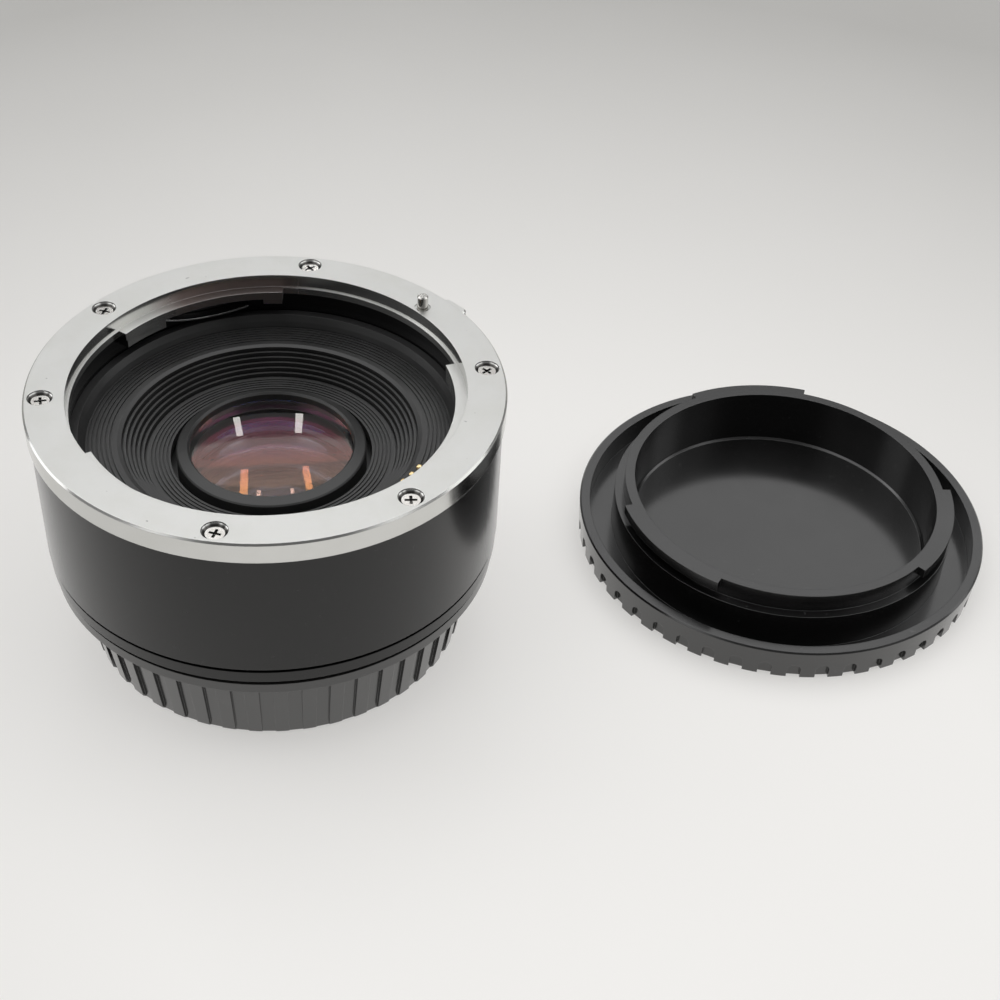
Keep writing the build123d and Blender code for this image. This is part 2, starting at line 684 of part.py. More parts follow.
# Contact block on the lens side: arc over the baffle floor, plug through its window, one bore per contact
with BuildPart() as front_contact_block:
    sector(block_inner_radius, block_outer_radius, block_floor_z, block_top_z, block_start, block_end)
    chamfer(front_contact_block.faces().sort_by(Axis.Z)[-1].edges(), edge_break)
    sector(plug_inner_radius + plug_gap, plug_outer_radius - plug_gap, plug_end_z, block_floor_z,
           plug_start + plug_gap_angle, plug_end - plug_gap_angle)
    for angle in contact_angles:
        place = polar(contact_circle_radius, angle)
        post(contact_radius + slip, block_top_z - block_top_wall - over, block_top_z + over, place,
             mode=Mode.SUBTRACT)
        post(contact_bore_radius, plug_end_z - over, block_top_z - block_top_wall, place, mode=Mode.SUBTRACT)
front_contact_block.part.label = "front_contact_block"
export_step(front_contact_block.part, "parts/front_contact_block.step")

# Sprung contact pins, each with its spring
for number, angle in enumerate(contact_angles, 1):
    place = polar(contact_circle_radius, angle)
    with BuildPart() as contact_pin:
        post(contact_radius, collar_top_z, contact_tip_z, place)
        fillet(contact_pin.faces().sort_by(Axis.Z)[-1].edges(), contact_round_radius)
        post(contact_collar_radius, collar_end_z, collar_top_z, place)
    contact_pin.part.label = f"contact_pin_{number}"
    export_step(contact_pin.part, f"parts/contact_pin_{number}.step")
    with BuildPart() as contact_spring:
        spring_top_z = collar_end_z - slip
        post(contact_spring_radius, plug_end_z + slip, spring_top_z, place)
        post(contact_spring_radius - contact_spring_wall, plug_end_z - over, spring_top_z + over, place,
             mode=Mode.SUBTRACT)
    contact_spring.part.label = f"contact_spring_{number}"
    export_step(contact_spring.part, f"parts/contact_spring_{number}.step")

# Front flexible circuit: strip under the contact bores, folded down to the board
with BuildPart() as front_flex:
    sector(plug_inner_radius + plug_gap, plug_outer_radius - plug_gap, flex_end_z, plug_end_z,
           plug_start + flex_margin, plug_end - flex_margin)
    sector(plug_outer_radius - plug_gap - flex_thickness, plug_outer_radius - plug_gap, board_top_z,
           flex_end_z, contact_middle - flex_span / 2, contact_middle + flex_span / 2)
front_flex.part.label = "front_flex"
export_step(front_flex.part, "parts/front_flex.step")

# Circuit board: open ring on the inner frame
with BuildPart() as circuit_board:
    sector(board_inner_radius, cavity_fit_radius, board_back_z, board_top_z, board_gap, full_turn - board_gap)
circuit_board.part.label = "circuit_board"
export_step(circuit_board.part, "parts/circuit_board.step")

# Inner frame: outer wall, disc and threaded hub
with BuildPart() as inner_frame:
    turned([
        (frame_radius, barrel_head_z), (cavity_radius, barrel_head_z), (cavity_radius, board_back_z),
        (frame_wall_radius, board_back_z), (frame_wall_radius, disc_top_z),
        (hub_radius, disc_top_z), (hub_radius, hub_top_z), (hub_bore_radius, hub_top_z),
        (hub_bore_radius, hub_end_z), (hub_radius, hub_end_z), (hub_radius, disc_back_z),
        (frame_wall_radius, disc_back_z), (frame_wall_radius, rear_flange_top_z),
        (frame_radius, rear_flange_top_z),
    ])
    window_half = flex_span / 2 + flex_window_margin
    sector(rear_plug_outer_radius - flex_window_width, rear_plug_outer_radius + flex_thickness,
           disc_back_z - over, disc_top_z + over, contact_middle - window_half, contact_middle + window_half,
           mode=Mode.SUBTRACT)
    for angle in rear_screw_angles:
        post(screw_shank_radius + slip, rear_flange_top_z - over,
             rear_flange_z + screw_length + tap_margin_depth, polar(rear_screw_circle_radius, angle),
             mode=Mode.SUBTRACT)
inner_frame.part.label = "inner_frame"
export_step(inner_frame.part, "parts/inner_frame.step")

# Rear ring between the two grooves
with BuildPart() as rear_ring:
    turned([
        (rear_ring_bore_radius, rear_ring_top_z), (rear_ring_radius, rear_ring_top_z),
        (rear_ring_radius, rear_ring_end_z + edge_break),
        (rear_ring_radius - edge_break, rear_ring_end_z),
        (rear_seat_radius, rear_ring_end_z),
        (rear_seat_radius, rear_flange_top_z), (rear_ring_bore_radius, rear_flange_top_z),
    ])
rear_ring.part.label = "rear_ring"
export_step(rear_ring.part, "parts/rear_ring.step")

# Rear mount ring: flange, tube with three lugs, shelf for the rear baffle, screw holes, lock hole
with BuildPart() as rear_mount_ring:
    turned([
        (rear_tube_bore_radius, rear_flange_top_z), (rear_flange_radius, rear_flange_top_z),
        (rear_flange_radius, rear_flange_z), (rear_tube_radius, rear_flange_z),
        (rear_tube_radius, rear_tube_end_z), (rear_tube_bore_radius, rear_tube_end_z),
    ])
    sector(shelf_radius, rear_tube_bore_radius + root, shelf_z, shelf_top_z, block_end - plug_margin / 2,
           block_start + plug_margin / 2 + full_turn)
    for start, end in tab_spans:
        middle = (start + end) / 2
        sector(rear_tube_radius - root, lug_radius, rear_lug_end_z, rear_lug_top_z,
               middle - rear_lug_span / 2, middle + rear_lug_span / 2)
    for angle in rear_screw_angles:
        countersunk(screw_head_radius + slip, screw_shank_radius + slip, rear_flange_thickness + over,
                    rear_flange_z, polar(rear_screw_circle_radius, angle), up=-1, mode=Mode.SUBTRACT,
                    extra=over)
    for angle in baffle_screw_angles:
        post(baffle_screw_shank_radius + slip, shelf_z - over, shelf_top_z + over,
             polar(baffle_screw_circle_radius, angle), mode=Mode.SUBTRACT)
    post(lock_pin_radius + lock_hole_gap, rear_flange_z - over, rear_flange_top_z + over, lock_place,
         mode=Mode.SUBTRACT)
rear_mount_ring.part.label = "rear_mount_ring"
export_step(rear_mount_ring.part, "parts/rear_mount_ring.step")

# Four countersunk screws of the rear mount
with BuildPart() as rear_mount_screws:
    for i, angle in enumerate(rear_screw_angles):
        place = polar(rear_screw_circle_radius, angle)
        countersunk(screw_head_radius, screw_shank_radius, screw_length, rear_flange_z, place, up=-1)
        cross_recess(place, rear_flange_z, cross_width, cross_length, cross_depth, cross_turns[i],
                     up=-1)
rear_mount_screws.part.label = "rear_mount_screws"
export_step(rear_mount_screws.part, "parts/rear_mount_screws.step")

# Rear baffle: disc behind the shelf, open in the middle for the lens cell
with BuildPart() as rear_baffle:
    turned([
        (cell_tail_radius + seat, rear_baffle_z), (rear_block_outer_radius, rear_baffle_z),
        (rear_block_outer_radius, shelf_z), (cell_tail_radius + seat, shelf_z),
    ])
    sector(rear_plug_inner_radius, rear_plug_outer_radius, rear_baffle_z - over, shelf_z + over,
           plug_start, plug_end, mode=Mode.SUBTRACT)
    for angle in baffle_screw_angles:
        countersunk(baffle_screw_head_radius + slip, baffle_screw_shank_radius + slip,
                    rear_baffle_thickness + over, rear_baffle_z, polar(baffle_screw_circle_radius, angle),
                    up=-1, mode=Mode.SUBTRACT, extra=over)
rear_baffle.part.label = "rear_baffle"
export_step(rear_baffle.part, "parts/rear_baffle.step")

# Small screws of the rear baffle
with BuildPart() as rear_baffle_screws:
    for i, angle in enumerate(baffle_screw_angles):
        place = polar(baffle_screw_circle_radius, angle)
        countersunk(baffle_screw_head_radius, baffle_screw_shank_radius, baffle_screw_length, rear_baffle_z,
                    place, up=-1)
        cross_recess(place, rear_baffle_z, baffle_cross_width, baffle_cross_length, baffle_cross_depth,
                     cross_turns[i], up=-1)
rear_baffle_screws.part.label = "rear_baffle_screws"
export_step(rear_baffle_screws.part, "parts/rear_baffle_screws.step")

# Contact block on the camera side: arc behind the rear baffle, plug through its window
with BuildPart() as rear_contact_block:
    sector(rear_block_inner_radius, rear_block_outer_radius, rear_block_z, rear_baffle_z, block_start,
           block_end)
    chamfer(rear_contact_block.faces().sort_by(Axis.Z)[0].edges(), edge_break)
    sector(rear_plug_inner_radius + plug_gap, rear_plug_outer_radius - plug_gap, rear_baffle_z,
           rear_plug_top_z, plug_start + plug_gap_angle, plug_end - plug_gap_angle)
    for angle in contact_angles:
        post(pad_radius + slip / 2, rear_block_z - over, rear_block_z + pad_depth,
             polar(pad_circle_radius, angle), mode=Mode.SUBTRACT)
rear_contact_block.part.label = "rear_contact_block"
export_step(rear_contact_block.part, "parts/rear_contact_block.step")

# Flat contact pads of that block
with BuildPart() as rear_contact_pads:
    for angle in contact_angles:
        post(pad_radius, rear_block_z - pad_proud_height, rear_block_z + pad_depth,
             polar(pad_circle_radius, angle))
rear_contact_pads.part.label = "rear_contact_pads"
export_step(rear_contact_pads.part, "parts/rear_contact_pads.step")

# Rear flexible circuit: upright strip from the rear block's plug to the board
with BuildPart() as rear_flex:
    strip_outer = rear_plug_outer_radius - plug_gap - flex_thickness
    sector(strip_outer - flex_thickness, strip_outer, rear_plug_top_z, board_back_z,
           contact_middle - flex_span / 2, contact_middle + flex_span / 2)
rear_flex.part.label = "rear_flex"
export_step(rear_flex.part, "parts/rear_flex.step")


def rise(radius, sag, at):
    """Height of a lens face above its edge, at a radius: positive where it bulges."""
    curve = (radius ** 2 + sag ** 2) / (2 * abs(sag))
    return math.copysign(abs(sag) - curve + math.sqrt(curve ** 2 - at ** 2), sag)


def stack(lenses, radius, spacer_heights, top_z, last_seat_radius):
    """Heights of a group of lenses and of the spacers between them, from the top edge down."""
    elements = []
    rings = []
    edge_z = top_z
    inner = radius - spacer_width
    for i, (front_sag, thickness, back_sag) in enumerate(lenses):
        back_z = edge_z - thickness
        elements.append((radius, front_sag, back_sag, edge_z, back_z))
        if i < len(spacer_heights):
            ring_top_z = back_z - max(0, rise(radius, back_sag, inner))
            ring_end_z = ring_top_z - spacer_heights[i]
            rings.append((radius, ring_top_z, ring_end_z))
            edge_z = ring_end_z - max(0, rise(radius, lenses[i + 1][0], inner))
    seat_z = back_z - max(0, rise(radius, back_sag, last_seat_radius))
    return elements, rings, seat_z


# Lens cell: neck for the front ring, threaded middle, waist, and tail for the rear group
rim_seat_radius = rim_outer_radius - rim_skirt_wall
front_bore_radius = front_lens_radius + slip
rear_bore_radius = rear_lens_radius + slip
front_elements, front_rings, cell_shoulder_z = stack(
    front_lenses, front_lens_radius, front_spacer_heights, neck_top_z - front_lens_gap, cell_shoulder_radius)
shoulder_end_z = cell_shoulder_z - cell_shoulder_height
rear_elements, rear_rings, retainer_top_z = stack(
    rear_lenses, rear_lens_radius, rear_spacer_heights, shoulder_end_z, rear_retainer_radius)
cell_end_z = retainer_top_z - rear_retainer_height
with BuildPart() as lens_cell:
    turned([
        (front_bore_radius, neck_top_z), (rim_seat_radius - slip, neck_top_z),
        (rim_seat_radius - slip, skirt_end_z), (rim_outer_radius, skirt_end_z), (rim_outer_radius, hub_top_z),
        (thread_radius, hub_top_z), (thread_radius, hub_end_z), (cell_waist_radius, hub_end_z),
        (cell_waist_radius, waist_end_z), (cell_tail_radius, waist_end_z),
        (cell_tail_radius, cell_end_z), (rear_bore_radius, cell_end_z), (rear_bore_radius, shoulder_end_z),
        (cell_shoulder_radius, shoulder_end_z), (cell_shoulder_radius, cell_shoulder_z),
        (front_bore_radius, cell_shoulder_z),
    ])
lens_cell.part.label = "lens_cell"
export_step(lens_cell.part, "parts/lens_cell.step")

# Ring screwed over the neck of the cell, which holds the front lens
with BuildPart() as front_retaining_ring:
    turned([
        (rim_inner_radius + rim_bevel_width, rim_crest_z), (rim_outer_radius - edge_break, rim_top_z),
        (rim_outer_radius, rim_top_z - edge_break), (rim_outer_radius, skirt_end_z + slip),
        (rim_seat_radius, skirt_end_z + slip), (rim_seat_radius, neck_top_z), (rim_inner_radius, neck_top_z),
        (rim_inner_radius, rim_crest_z - rim_bevel_width),
    ])
front_retaining_ring.part.label = "front_retaining_ring"
export_step(front_retaining_ring.part, "parts/front_retaining_ring.step")


# Lens elements, numbered from the front
elements = front_elements + rear_elements
for number, (radius, front_sag, back_sag, front_z, back_z) in enumerate(elements, 1):
    with BuildPart() as lens_element:
        with BuildSketch(Plane.XZ) as lens_section:
            with BuildLine():
                half = radius / 2
                front_apex = (0, front_z + front_sag)
                back_apex = (0, back_z - back_sag)
                ThreePointArc(front_apex, (half, front_z + rise(radius, front_sag, half)), (radius, front_z))
                Line((radius, front_z), (radius, back_z))
                ThreePointArc((radius, back_z), (half, back_z - rise(radius, back_sag, half)), back_apex)
                Line(back_apex, front_apex)
            make_face()
        revolve(lens_section.sketch, axis=Axis.Z)
    lens_element.part.label = f"lens_{number}"
    export_step(lens_element.part, f"parts/lens_{number}.step")

# Spacer rings between the elements
for number, (radius, top_z, end_z) in enumerate(front_rings + rear_rings, 1):
    with BuildPart() as lens_spacer:
        turned([
            (radius - spacer_width, top_z), (radius, top_z), (radius, end_z), (radius - spacer_width, end_z),
        ])
    lens_spacer.part.label = f"lens_spacer_{number}"
    export_step(lens_spacer.part, f"parts/lens_spacer_{number}.step")

# Rear retaining ring with two spanner slots
with BuildPart() as rear_retaining_ring:
    turned([
        (rear_retainer_radius, retainer_top_z), (rear_lens_radius, retainer_top_z),
        (rear_lens_radius, cell_end_z), (rear_retainer_radius, cell_end_z),
    ])
    with BuildSketch(Plane.XY.offset(cell_end_z)) as spanner:
        Rectangle(2 * (rear_lens_radius + over), spanner_slot_width)
    extrude(spanner.sketch, amount=spanner_slot_depth, mode=Mode.SUBTRACT)
rear_retaining_ring.part.label = "rear_retaining_ring"
export_step(rear_retaining_ring.part, "parts/rear_retaining_ring.step")

# Rear cap: flat rim, tapered wall with grip grooves, bayonet lugs inside
taper = cap_taper_width / (cap_rim_z - ground_z)
groove_top_z = cap_rim_z - cap_groove_gap
groove_bottom_radius = cap_wall_bottom_radius - cap_groove_depth
with BuildPart() as cap_groove:
    with BuildSketch(Plane.XZ) as groove_side:
        with BuildLine():
            Polyline(
                (cap_wall_top_radius - taper * cap_groove_gap - cap_groove_depth, groove_top_z),
                (groove_bottom_radius, ground_z), (groove_bottom_radius, ground_z - over),
                (cap_wall_top_radius + over, ground_z - over), (cap_wall_top_radius + over, groove_top_z),
                close=True,
            )
        make_face()
    extrude(groove_side.sketch, amount=cap_groove_width / 2, both=True)
with BuildPart() as rear_cap:
    turned([
        (cap_bore_radius, cap_top_z), (cap_rim_radius, cap_top_z), (cap_rim_radius, cap_rim_z),
        (cap_wall_top_radius, cap_rim_z), (cap_wall_bottom_radius, ground_z + cap_foot_chamfer),
        (cap_wall_bottom_radius - cap_foot_chamfer, ground_z), (0, ground_z),
        (0, ground_z + cap_floor_thickness), (cap_floor_radius, ground_z + cap_floor_thickness),
        (cap_bore_radius, cap_top_z - cap_bore_depth),
    ])
    with PolarLocations(0, cap_rib_count, start_angle=cap_rib_phase):
        add(cap_groove.part, mode=Mode.SUBTRACT)
    cap_lug_top_z = cap_top_z - cap_lug_depth
    cap_lug_end_z = cap_lug_top_z - cap_lug_height
    for start, end in tab_spans:
        middle = (start + end) / 2
        sector(cap_lug_radius, cap_bore_radius + root, cap_lug_end_z, cap_lug_top_z,
               middle - cap_lug_span / 2, middle + cap_lug_span / 2)
        stop_end = middle - rear_lug_span / 2 - cap_stop_offset
        sector(cap_stop_radius, cap_bore_radius + root, rear_lug_end_z, cap_lug_end_z,
               stop_end - cap_stop_span, stop_end)
rear_cap.part.label = "rear_cap"
export_step(rear_cap.part, "parts/rear_cap.step")

# Front cap: rim with grip notches, trough, stepped tube with three lugs
front_cap_distance = cap_rim_radius + front_cap_gap + front_rim_top_radius
front_place = polar(front_cap_distance, front_cap_angle)
front_rim_z = ground_z + front_rim_height
front_tube_z = ground_z + front_tube_height
front_step_z = ground_z + front_step_height
front_floor_z = ground_z + front_floor_thickness
with BuildPart() as notch_cutter:
    with BuildSketch(tangent_plane(0, front_rim_bottom_radius - notch_depth)) as notch_side:
        arch_z = ground_z + notch_height - notch_width / 2
        with Locations((0, (arch_z + ground_z - over) / 2)):
            Rectangle(notch_width, arch_z - ground_z + over)
        with Locations((0, arch_z)):
            Circle(notch_width / 2)
    extrude(notch_side.sketch, amount=notch_depth + over)
with BuildPart() as front_cap:
    turned([
        (0, ground_z), (front_rim_bottom_radius, ground_z),
        (front_rim_top_radius, front_rim_z - front_rim_chamfer),
        (front_rim_top_radius - front_rim_chamfer, front_rim_z), (front_rim_inner_radius, front_rim_z),
        (front_rim_inner_radius, ground_z + front_trough_thickness),
        (front_step_radius, ground_z + front_trough_thickness), (front_step_radius, front_step_z),
        (front_tube_radius, front_step_z), (front_tube_radius, front_tube_z),
        (front_tube_bore_radius, front_tube_z),
        (front_floor_bore_radius, front_floor_z + front_floor_chamfer),
        (front_floor_bore_radius - front_floor_chamfer, front_floor_z), (0, front_floor_z),
    ], centre=front_place)
    for start, end in front_lug_spans:
        sector(front_tube_radius - root, lug_radius, front_tube_z - front_lug_thickness, front_tube_z,
               start, end, centre=front_place)
    for i in range(notch_count):
        place = Location(front_place, (0, 0, notch_phase + full_turn / notch_count * i))
        add(notch_cutter.part.moved(place), mode=Mode.SUBTRACT)
front_cap.part.label = "front_cap"
export_step(front_cap.part, "parts/front_cap.step")
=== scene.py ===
"""Looks of the teleconverter with its two caps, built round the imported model. All sizes are in metres."""

import math

import bpy
from mathutils import Matrix, Vector


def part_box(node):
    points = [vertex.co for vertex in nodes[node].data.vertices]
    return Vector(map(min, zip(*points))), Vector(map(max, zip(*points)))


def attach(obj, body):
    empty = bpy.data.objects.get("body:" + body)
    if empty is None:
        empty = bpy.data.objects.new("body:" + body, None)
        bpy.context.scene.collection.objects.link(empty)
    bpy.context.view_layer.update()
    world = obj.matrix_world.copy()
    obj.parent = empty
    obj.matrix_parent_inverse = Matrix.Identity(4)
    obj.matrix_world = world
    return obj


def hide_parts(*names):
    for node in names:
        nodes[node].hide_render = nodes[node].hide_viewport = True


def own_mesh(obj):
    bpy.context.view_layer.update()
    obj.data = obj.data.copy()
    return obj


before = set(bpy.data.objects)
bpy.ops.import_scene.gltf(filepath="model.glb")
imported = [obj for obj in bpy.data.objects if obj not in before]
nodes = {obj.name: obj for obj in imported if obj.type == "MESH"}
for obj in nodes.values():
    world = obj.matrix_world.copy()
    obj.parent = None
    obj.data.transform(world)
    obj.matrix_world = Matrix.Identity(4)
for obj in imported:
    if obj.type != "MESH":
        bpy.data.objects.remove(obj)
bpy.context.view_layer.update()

mm = 0.001
ground_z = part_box("rear_cap")[0].z
flange_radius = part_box("front_mount_ring")[1].x

# Camera of the photograph, in the frame of the part
camera_place = Vector((32.351, -178.147, 134.249)) * mm
camera_pitch = math.radians(40.52)
camera_roll = math.radians(3.636)
sensor_width = 36.0
focal_length = 59.05
nearest_seen = 5 * mm

# Finishes in general: where most values of a noise lie, and how like the true and the bevelled normal are,
# from a sharp edge to an open face
noise_span = (0.3, 0.7)
edge_span = (0.75, 0.99)
bevel_samples = 4

# Turned metal: fine lines round the axis, and walls in painted shade, a little darker than the level faces
line_scale = 14000.0
line_drift = 0.6
level_span = (0.90, 0.98)
painted_wall_shade = 0.16

# Borders of the brown patch on the far tab, partly tarnish and partly painted reflection, each a soft step
# between two values
brown_radius = (27.3 * mm, 27.5 * mm)
brown_height = (-0.5 * mm, -0.3 * mm)
brown_start = (math.radians(85), math.radians(92))
brown_end = (math.radians(126), math.radians(138))

# Painted shade in the screw sinks: how far from the circle of the screws and how deep it reaches, with soft
# borders
screw_circle = flange_radius - 2.3 * mm
shade_reach = 1.8 * mm
shade_bottom = -1.9 * mm
shade_border = 0.1 * mm
shade_fade = 0.15 * mm

# Each lens's coatings in nanometres, in front and at the back, and the indices of coating and glass
glass_films = {
    "lens_1": (30.0, 577.0, 1.27, 1.58),
    "lens_2": (305.0, 200.0, 1.42, 1.60),
    "lens_3": (130.0, 197.0, 1.24, 1.52),
    "lens_4": (122.0, 207.0, 1.30, 1.70),
    "lens_5": (130.0, 197.0, 1.24, 1.52),
}
film_change = 0.01 * mm      # half the height over which a lens's front coating gives way to the back one

# Coil springs
coil_turns = 8
coil_steps = 24              # in each turn
wire_sides = 8
release_wire = 0.22 * mm
contact_count = 8
contact_wire = 0.16 * mm

# Floor, and the share of its tone that is its own light, where the camera sees it and where gloss mirrors it
floor_sides = 96
floor_reach = 6.0
# Painted pool of light on the floor round the part
light_pool_middle = (0.045, -0.03, ground_z)      # the floor is palest here and darker further out
light_pool_reach = (0.06, 0.26)
seen_light = 0.50
mirrored_light = 0.90
glow_level = 1.05

# Room: heights as sines of the elevation, and levels where 1 is white
wall_top = (0.583, 0.605)
wall_level = 0.30
ceiling_level = 0.97
ceiling_middle = (0.62, 0.85)
middle_level = 1.45
cove_low = (0.590, 0.600)
cove_high = (0.615, 0.69)
cove_level = 0.4
viewer_edge = (0.70, 0.90)      # cosines of the angle from the viewer, round whom the room is dark
viewer_share = 0.15
backdrop_level = 0.50           # what the camera sees past the floor, in a low view
windows = ((-14.2, 0.42), (-6.9, 0.45))      # azimuth from behind the part, and half the width, in degrees
window_bottom = 0.40
window_level = 6.5

# Lamps: azimuth from behind the part and elevation in degrees, distance, width, height and level
lamp_aim = Vector((0.02, 0, -0.01))
lamps = {
    "lamp_left": (-80, 22, 0.8, 0.35, 0.5, 1.6),
    "lamp_right": (75, 22, 0.9, 0.35, 0.5, 1.2),
}


class Graph:
    """Node tree, and short calls for the nodes that go into it."""

    def __init__(self, tree):
        self.tree = tree

    def add(self, kind, inputs=(), **settings):
        """New node; inputs maps a socket's name or number to a value or to another node's output."""
        node = self.tree.nodes.new("ShaderNode" + kind)
        for key, value in settings.items():
            setattr(node, key, value)
        for key, value in dict(inputs).items():
            if isinstance(value, bpy.types.NodeSocket):
                self.tree.links.new(value, node.inputs[key])
            else:
                node.inputs[key].default_value = value
        return node

    def math(self, operation, a, b=0.0, c=0.0):
        return self.add("Math", {0: a, 1: b, 2: c}, operation=operation).outputs[0]

    def total(self, first, *others):
        for other in others:
            first = self.math("ADD", first, other)
        return first

    def product(self, first, *others):
        for other in others:
            first = self.math("MULTIPLY", first, other)
        return first

    def alike(self, a, b):
        """Cosine of the angle between two directions."""
        return self.add("VectorMath", {0: a, 1: b}, operation="DOT_PRODUCT").outputs["Value"]

    def axes(self, vector):
        return self.add("SeparateXYZ", {0: vector}).outputs

    def spread(self, value, low, high, start=0.0, end=1.0, curve="LINEAR"):
        """Value mapped from low..high to start..end, and held at both ends."""
        inputs = {"Value": value, "From Min": low, "From Max": high, "To Min": start, "To Max": end}
        return self.add("MapRange", inputs, interpolation_type=curve).outputs[0]

    def ease(self, value, low, high, start=0.0, end=1.0):
        """The same, with soft bends at both ends."""
        return self.spread(value, low, high, start, end, curve="SMOOTHSTEP")


class Finish(Graph):
    """Node material with one Principled shader, and short calls for what feeds it."""

    def __init__(self, name, **sockets):
        self.material = bpy.data.materials.new(name)
        self.material.use_nodes = True
        super().__init__(self.material.node_tree)
        self.shader = self.tree.nodes["Principled BSDF"]
        for key, value in sockets.items():
            self.shader.inputs[key.replace("_", " ")].default_value = value

    def feed(self, **sockets):
        """Connects outputs to the shader's sockets."""
        for key, value in sockets.items():
            self.tree.links.new(value, self.shader.inputs[key.replace("_", " ")])

    def place(self):
        """Object coordinates, which in every piece are those of the frame."""
        return self.add("TexCoord").outputs["Object"]

    def normal(self):
        return self.add("NewGeometry").outputs["Normal"]

    def bevel(self, width):
        """Normal over edges that a small bevel rounds."""
        return self.add("Bevel", {"Radius": width}, samples=bevel_samples).outputs[0]

    def round_place(self):
        """Radius, angle and height about the upright axis of the part."""
        x, y, height = self.axes(self.place())
        radius = self.math("SQRT", self.total(self.product(x, x), self.product(y, y)))
        return radius, self.math("ARCTAN2", y, x), height

    def noise(self, scale, detail=3.0, roughness=0.6, vector=None):
        """Noise with this many cells in a metre."""
        start = self.place() if vector is None else vector
        inputs = {"Vector": start, "Scale": scale, "Detail": detail, "Roughness": roughness}
        return self.add("TexNoise", inputs).outputs["Fac"]

    def between(self, noise, a, b):
        """Number that goes from a to b with a noise."""
        return self.spread(noise, *noise_span, a, b)

    def mix(self, share, a, b):
        return self.add("MixRGB", {0: share, 1: a, 2: b}).outputs[0]

    def mottle(self, noise, a, b):
        """Colour that goes from a to b with a noise."""
        return self.mix(self.spread(noise, *noise_span), a, b)

    def cover(self, tone, other, mask, share=1.0):
        """Tone that another one covers to this share where the mask is 1."""
        return self.mix(self.product(mask, share), tone, other)

    def specks(self, scale, low, high):
        """1 in the few spots where a fine noise is high, and 0 round them."""
        return self.spread(self.noise(scale, detail=2.0, roughness=0.5), low, high)

    def edge(self, width):
        """1 along sharp edges and 0 on open faces."""
        return self.spread(self.alike(self.bevel(width), self.normal()), *edge_span, 1.0, 0.0)

    def bump(self, height, strength, distance, bevel):
        """Bump from a height, over bevelled edges."""
        inputs = {"Height": height, "Strength": strength, "Distance": distance, "Normal": self.bevel(bevel)}
        self.feed(Normal=self.add("Bump", inputs).outputs[0])


def grey(value, tint=(1, 1, 1)):
    return (value * tint[0], value * tint[1], value * tint[2], 1)


def make_camera():
    """Camera at the photograph's place, looking down at the part."""
    forward = Vector((0, math.cos(camera_pitch), -math.sin(camera_pitch)))
    level = Vector((1, 0, 0))
    upright = level.cross(forward)
    right = math.cos(camera_roll) * level + math.sin(camera_roll) * upright
    up = math.cos(camera_roll) * upright - math.sin(camera_roll) * level
    turn = Matrix((right, up, -forward)).transposed().to_4x4()
    data = bpy.data.cameras.new("photo_camera")
    data.sensor_width = sensor_width
    data.lens = focal_length
    data.clip_start = nearest_seen
    camera = bpy.data.objects.new("photo_camera", data)
    camera.matrix_world = Matrix.Translation(camera_place) @ turn
    bpy.context.scene.collection.objects.link(camera)
    bpy.context.scene.camera = camera


def tarnish_and_painted_reflection(look, radius, angle, height):
    """1 on the top of the far tab, whose brown is partly tarnish and partly painted reflection, and 0 on the
    rest of the mount ring.
    """
    inside = look.product(look.spread(radius, *brown_radius, 1.0, 0.0),
                          look.spread(height, *brown_height, 1.0, 0.0))
    return look.product(inside, look.spread(angle, *brown_start), look.spread(angle, *brown_end, 1.0, 0.0))


def sink_painted_shade(look, radius, height, top):
    """1 low in the countersinks or the cross slots of the front screws, below a height, where painted shade
    goes, and 0 elsewhere.
    """
    near = screw_circle - shade_reach
    far = screw_circle + shade_reach
    ring = look.product(look.spread(radius, near - shade_border, near),
                        look.spread(radius, far, far + shade_border, 1.0, 0.0))
    return look.product(ring, look.spread(height, top - shade_fade, top, 1.0, 0.0),
                        look.spread(height, shade_bottom - shade_border, shade_bottom))


def turned_metal(name, colour, stain, face_roughness, wall_roughness, tarnish_and_reflection_tone=None, shade_top=None):
    """Metal whose level faces are satin and whose walls are turned smooth, with faint stains and specks,
    walls in painted shade and edges in painted highlight.
    """
    look = Finish(name, Metallic=1.0)
    radius, angle, height = look.round_place()
    along = {0: look.product(radius, line_scale), 1: look.product(angle, line_drift),
             2: look.product(height, line_scale)}
    lines = look.noise(scale=1.0, detail=2.0, vector=look.add("CombineXYZ", along).outputs[0])
    grain = look.noise(scale=5200.0)
    stains = look.noise(scale=110.0, detail=4.0, roughness=0.65)
    is_face = look.spread(look.math("ABSOLUTE", look.axes(look.normal())[2]), *level_span)
    wall = look.between(lines, wall_roughness - 0.03, wall_roughness + 0.05)
    face = look.between(grain, face_roughness - 0.03, face_roughness + 0.03)
    rough = look.mix(is_face, wall, face)

    tone = look.mix(look.spread(stains, 0.45, 0.75), colour, stain)
    # Painted shade: walls a little darker than the level faces
    tone = look.mix(look.spread(is_face, 0.0, 1.0, painted_wall_shade, 0.0), tone, grey(0.0))
    tone = look.cover(tone, grey(0.22), look.specks(scale=800.0, low=0.735, high=0.76), share=0.55)
    if tarnish_and_reflection_tone:
        # Brown patch on the far tab: partly tarnish, partly painted reflection of the near wall
        brown = tarnish_and_painted_reflection(look, radius, angle, height)
        tone = look.cover(tone, tarnish_and_reflection_tone, brown)
        rough = look.cover(rough, grey(0.34), brown)
    # Painted shade: warm dark colour low in the screw sinks and cross slots
    if shade_top:
        sink_shade = sink_painted_shade(look, radius, height, shade_top)
        tone = look.cover(tone, grey(0.03, (1, 0.9, 0.8)), sink_shade, share=0.9)
    # Painted highlight: sharp edges lightened almost to white
    tone = look.cover(tone, grey(0.92), look.edge(width=0.10 * mm), share=0.75)
    look.feed(Base_Color=tone, Roughness=rough)
    look.bump(look.mix(is_face, lines, grain), strength=0.35, distance=0.003 * mm, bevel=0.07 * mm)
    return look.material


